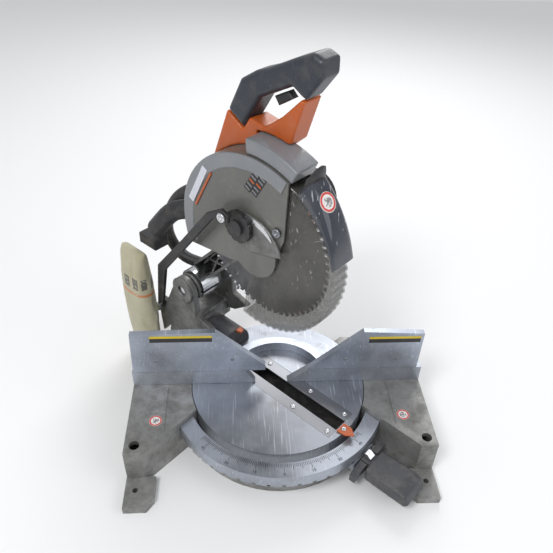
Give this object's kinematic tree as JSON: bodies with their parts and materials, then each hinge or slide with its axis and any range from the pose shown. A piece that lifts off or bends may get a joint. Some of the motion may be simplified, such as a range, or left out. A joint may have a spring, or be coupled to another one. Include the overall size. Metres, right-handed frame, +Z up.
{
  "type": "miter saw",
  "caption": "Benchtop miter saw with turning table, split fence, notched angle scale, tilting and chopping saw head, blade guards, D-handle and cloth dust bag",
  "frame": {"origin": "the table's turning axis at bench level, on the flat underside of the base's centre", "axes": "+Z up, +Y from the operator towards the back of the saw, +X to the operator's right; the fence face is the plane y = 0"},
  "size_m": [0.5377, 0.4565, 0.653],
  "materials": {
    "cast_aluminium": "dull cast skin, fine grain, grime in the corners",
    "machined_aluminium": "ground and machined, scratched and smeared",
    "dark_steel": "brushed, dusty",
    "bright_steel": "zinc bright with light scratches",
    "black_plastic": "moulded grain, sawdust in the hollows",
    "charcoal_plastic": "moulded grain, scuffed edges",
    "grey_paint": "semi-gloss paint with chips and dust",
    "smoked_plastic": "smoked clear plastic, hazed and scratched",
    "orange_plastic": "satin moulded plastic",
    "grip_rubber": "worn soft-grip rubber",
    "copper_winding": "varnished copper and steel laminations",
    "bag_cloth": "woven cotton twill with faded print"
  },
  "bodies": {
    "base": {"base_casting": "cast_aluminium", "miter_scale": "machined_aluminium", "fence_fixed": "machined_aluminium"},
    "fence_left": {"fence_slide_left": "machined_aluminium"},
    "fence_right": {"fence_slide_right": "machined_aluminium"},
    "knob_left": {"fence_clamp_knob_left": "black_plastic"},
    "knob_right": {"fence_clamp_knob_right": "black_plastic"},
    "table": {"turntable": "machined_aluminium", "kerf_duct": "black_plastic", "throat_plate_left": "dark_steel", "throat_plate_right": "dark_steel", "turntable_pivot_bolt": "bright_steel", "miter_pointer": "orange_plastic", "control_arm": "charcoal_plastic", "bevel_housing": "charcoal_plastic", "bevel_pivot_pin": "bright_steel"},
    "paddle_left": {"detent_paddle_left": "charcoal_plastic"},
    "paddle_right": {"detent_paddle_right": "charcoal_plastic"},
    "miter_lock": {"miter_lock_lever": "bright_steel"},
    "bevel_frame": {"bevel_arm": "cast_aluminium", "bevel_pointer": "orange_plastic", "chop_pivot_pin": "bright_steel", "chop_return_spring": "bright_steel", "guard_link_pin": "bright_steel"},
    "bevel_lock": {"bevel_lock_lever": "black_plastic"},
    "hold_down": {"hold_down_pin": "bright_steel"},
    "link": {"guard_link": "black_plastic"},
    "head": {"saw_arm": "cast_aluminium", "upper_guard": "grey_paint", "guard_nose": "smoked_plastic", "arbor_bearing": "bright_steel", "blade_bolt_cover": "cast_aluminium", "gear_case": "grey_paint", "motor_housing": "orange_plastic", "motor_end_cap": "black_plastic", "field_coil": "copper_winding", "brush_cap_top": "black_plastic", "brush_cap_bottom": "black_plastic", "handle_shell": "orange_plastic", "handle_grip": "grip_rubber", "carry_handle": "black_plastic", "front_cover": "grey_paint", "dust_port": "black_plastic", "bag_collar": "black_plastic", "dust_bag": "bag_cloth", "cord_gland": "black_plastic"},
    "guard": {"lower_guard": "smoked_plastic"},
    "crank": {"guard_crank": "black_plastic"},
    "blade_set": {"blade": "dark_steel", "arbor_shaft": "bright_steel", "flange_inner": "dark_steel", "flange_outer": "dark_steel", "arbor_bolt": "bright_steel", "drive_gear": "bright_steel"},
    "rotor": {"armature": "copper_winding", "pinion": "bright_steel"},
    "trigger_body": {"trigger": "black_plastic"},
    "lock_off": {"lock_off_button": "orange_plastic"}
  },
  "joints": [
    {"name": "miter_turn", "type": "hinge", "parent": "base", "child": "table", "pos_m": [0, 0, 0.078], "axis": [0, 0, -1], "range_deg": [-2, 92]},
    {"name": "fence_left_slide", "type": "slide", "parent": "base", "child": "fence_left", "axis": [-1, 0, 0], "range_m": [0, 0.12]},
    {"name": "fence_right_slide", "type": "slide", "parent": "base", "child": "fence_right", "axis": [1, 0, 0], "range_m": [0, 0.12]},
    {"name": "clamp_left_turn", "type": "hinge", "parent": "fence_left", "child": "knob_left", "pos_m": [-0.2, 0.03, 0.097], "axis": [0, 1, 0], "range_deg": [0, 180]},
    {"name": "clamp_right_turn", "type": "hinge", "parent": "fence_right", "child": "knob_right", "pos_m": [0.2, 0.03, 0.097], "axis": [0, 1, 0], "range_deg": [0, 180]},
    {"name": "paddle_left_squeeze", "type": "slide", "parent": "table", "child": "paddle_left", "axis": [0.7071, -0.7071, 0], "range_m": [0, 0.003], "stiffness_N_per_m": 800, "springref_m": -0.001},
    {"name": "paddle_right_squeeze", "type": "slide", "parent": "table", "child": "paddle_right", "axis": [0.7071, -0.7071, 0], "range_m": [0, 0.003], "stiffness_N_per_m": 800, "springref_m": -0.001},
    {"name": "miter_lock_lift", "type": "hinge", "parent": "table", "child": "miter_lock", "pos_m": [0.14708, -0.14001, 0.047], "axis": [0.7071, 0.7071, 0], "range_deg": [0, 50]},
    {"name": "bevel_tilt", "type": "hinge", "parent": "table", "child": "bevel_frame", "pos_m": [0, 0, 0.078], "axis": [0.7071, -0.7071, 0], "range_deg": [-45, 45]},
    {"name": "bevel_lock_turn", "type": "hinge", "parent": "bevel_frame", "child": "bevel_lock", "pos_m": [-0.17678, 0.17678, 0.078], "axis": [0.7071, -0.7071, 0], "range_deg": [0, 40]},
    {"name": "hold_down_slide", "type": "slide", "parent": "bevel_frame", "child": "hold_down", "axis": [0.7071, 0.7071, 0], "range_m": [-0.016, 0]},
    {"name": "chop", "type": "hinge", "parent": "bevel_frame", "child": "head", "pos_m": [-0.13435, 0.13435, 0.205], "axis": [0.7071, 0.7071, 0], "range_deg": [0, 47], "stiffness_Nm_per_rad": 20, "springref_deg": -74.48},
    {"name": "guard_link_swing", "type": "hinge", "parent": "bevel_frame", "child": "link", "pos_m": [-0.21355, 0.14708, 0.135], "axis": [0.7071, 0.7071, 0], "range_deg": [0, 38]},
    {"name": "guard_crank_turn", "type": "hinge", "parent": "head", "child": "crank", "pos_m": [-0.06717, 0.01768, 0.395], "axis": [0.7071, 0.7071, 0], "range_deg": [0, 41]},
    {"name": "lower_guard_lift", "type": "hinge", "parent": "head", "child": "guard", "pos_m": [-0.0297, 0.0297, 0.356], "axis": [0.7071, 0.7071, 0], "range_deg": [-110, 0]},
    {"name": "blade_spin", "type": "hinge", "parent": "head", "child": "blade_set", "pos_m": [-0.0297, 0.0297, 0.356], "axis": [0.7071, 0.7071, 0], "continuous": true},
    {"name": "armature_spin", "type": "hinge", "parent": "head", "child": "rotor", "pos_m": [0.01273, 0.12869, 0.356], "axis": [0.7071, 0.7071, 0], "continuous": true},
    {"name": "trigger_pull", "type": "hinge", "parent": "head", "child": "trigger_body", "pos_m": [0.00566, 0.03111, 0.588], "axis": [0.7071, 0.7071, 0], "range_deg": [0, 8], "stiffness_Nm_per_rad": 0.3, "springref_deg": -5.73},
    {"name": "lock_off_press", "type": "slide", "parent": "head", "child": "lock_off", "axis": [-0.7071, -0.7071, 0], "range_m": [0, 0.004], "stiffness_N_per_m": 300, "springref_m": -0.001}
  ],
  "couplings": [
    {"joint": "guard_link_swing", "follows": "chop", "ratio": 0.752},
    {"joint": "guard_crank_turn", "follows": "chop", "ratio": 0.8},
    {"joint": "lower_guard_lift", "follows": "chop", "ratio": -2.2},
    {"joint": "armature_spin", "follows": "blade_spin", "ratio": -3.3333}
  ]
}
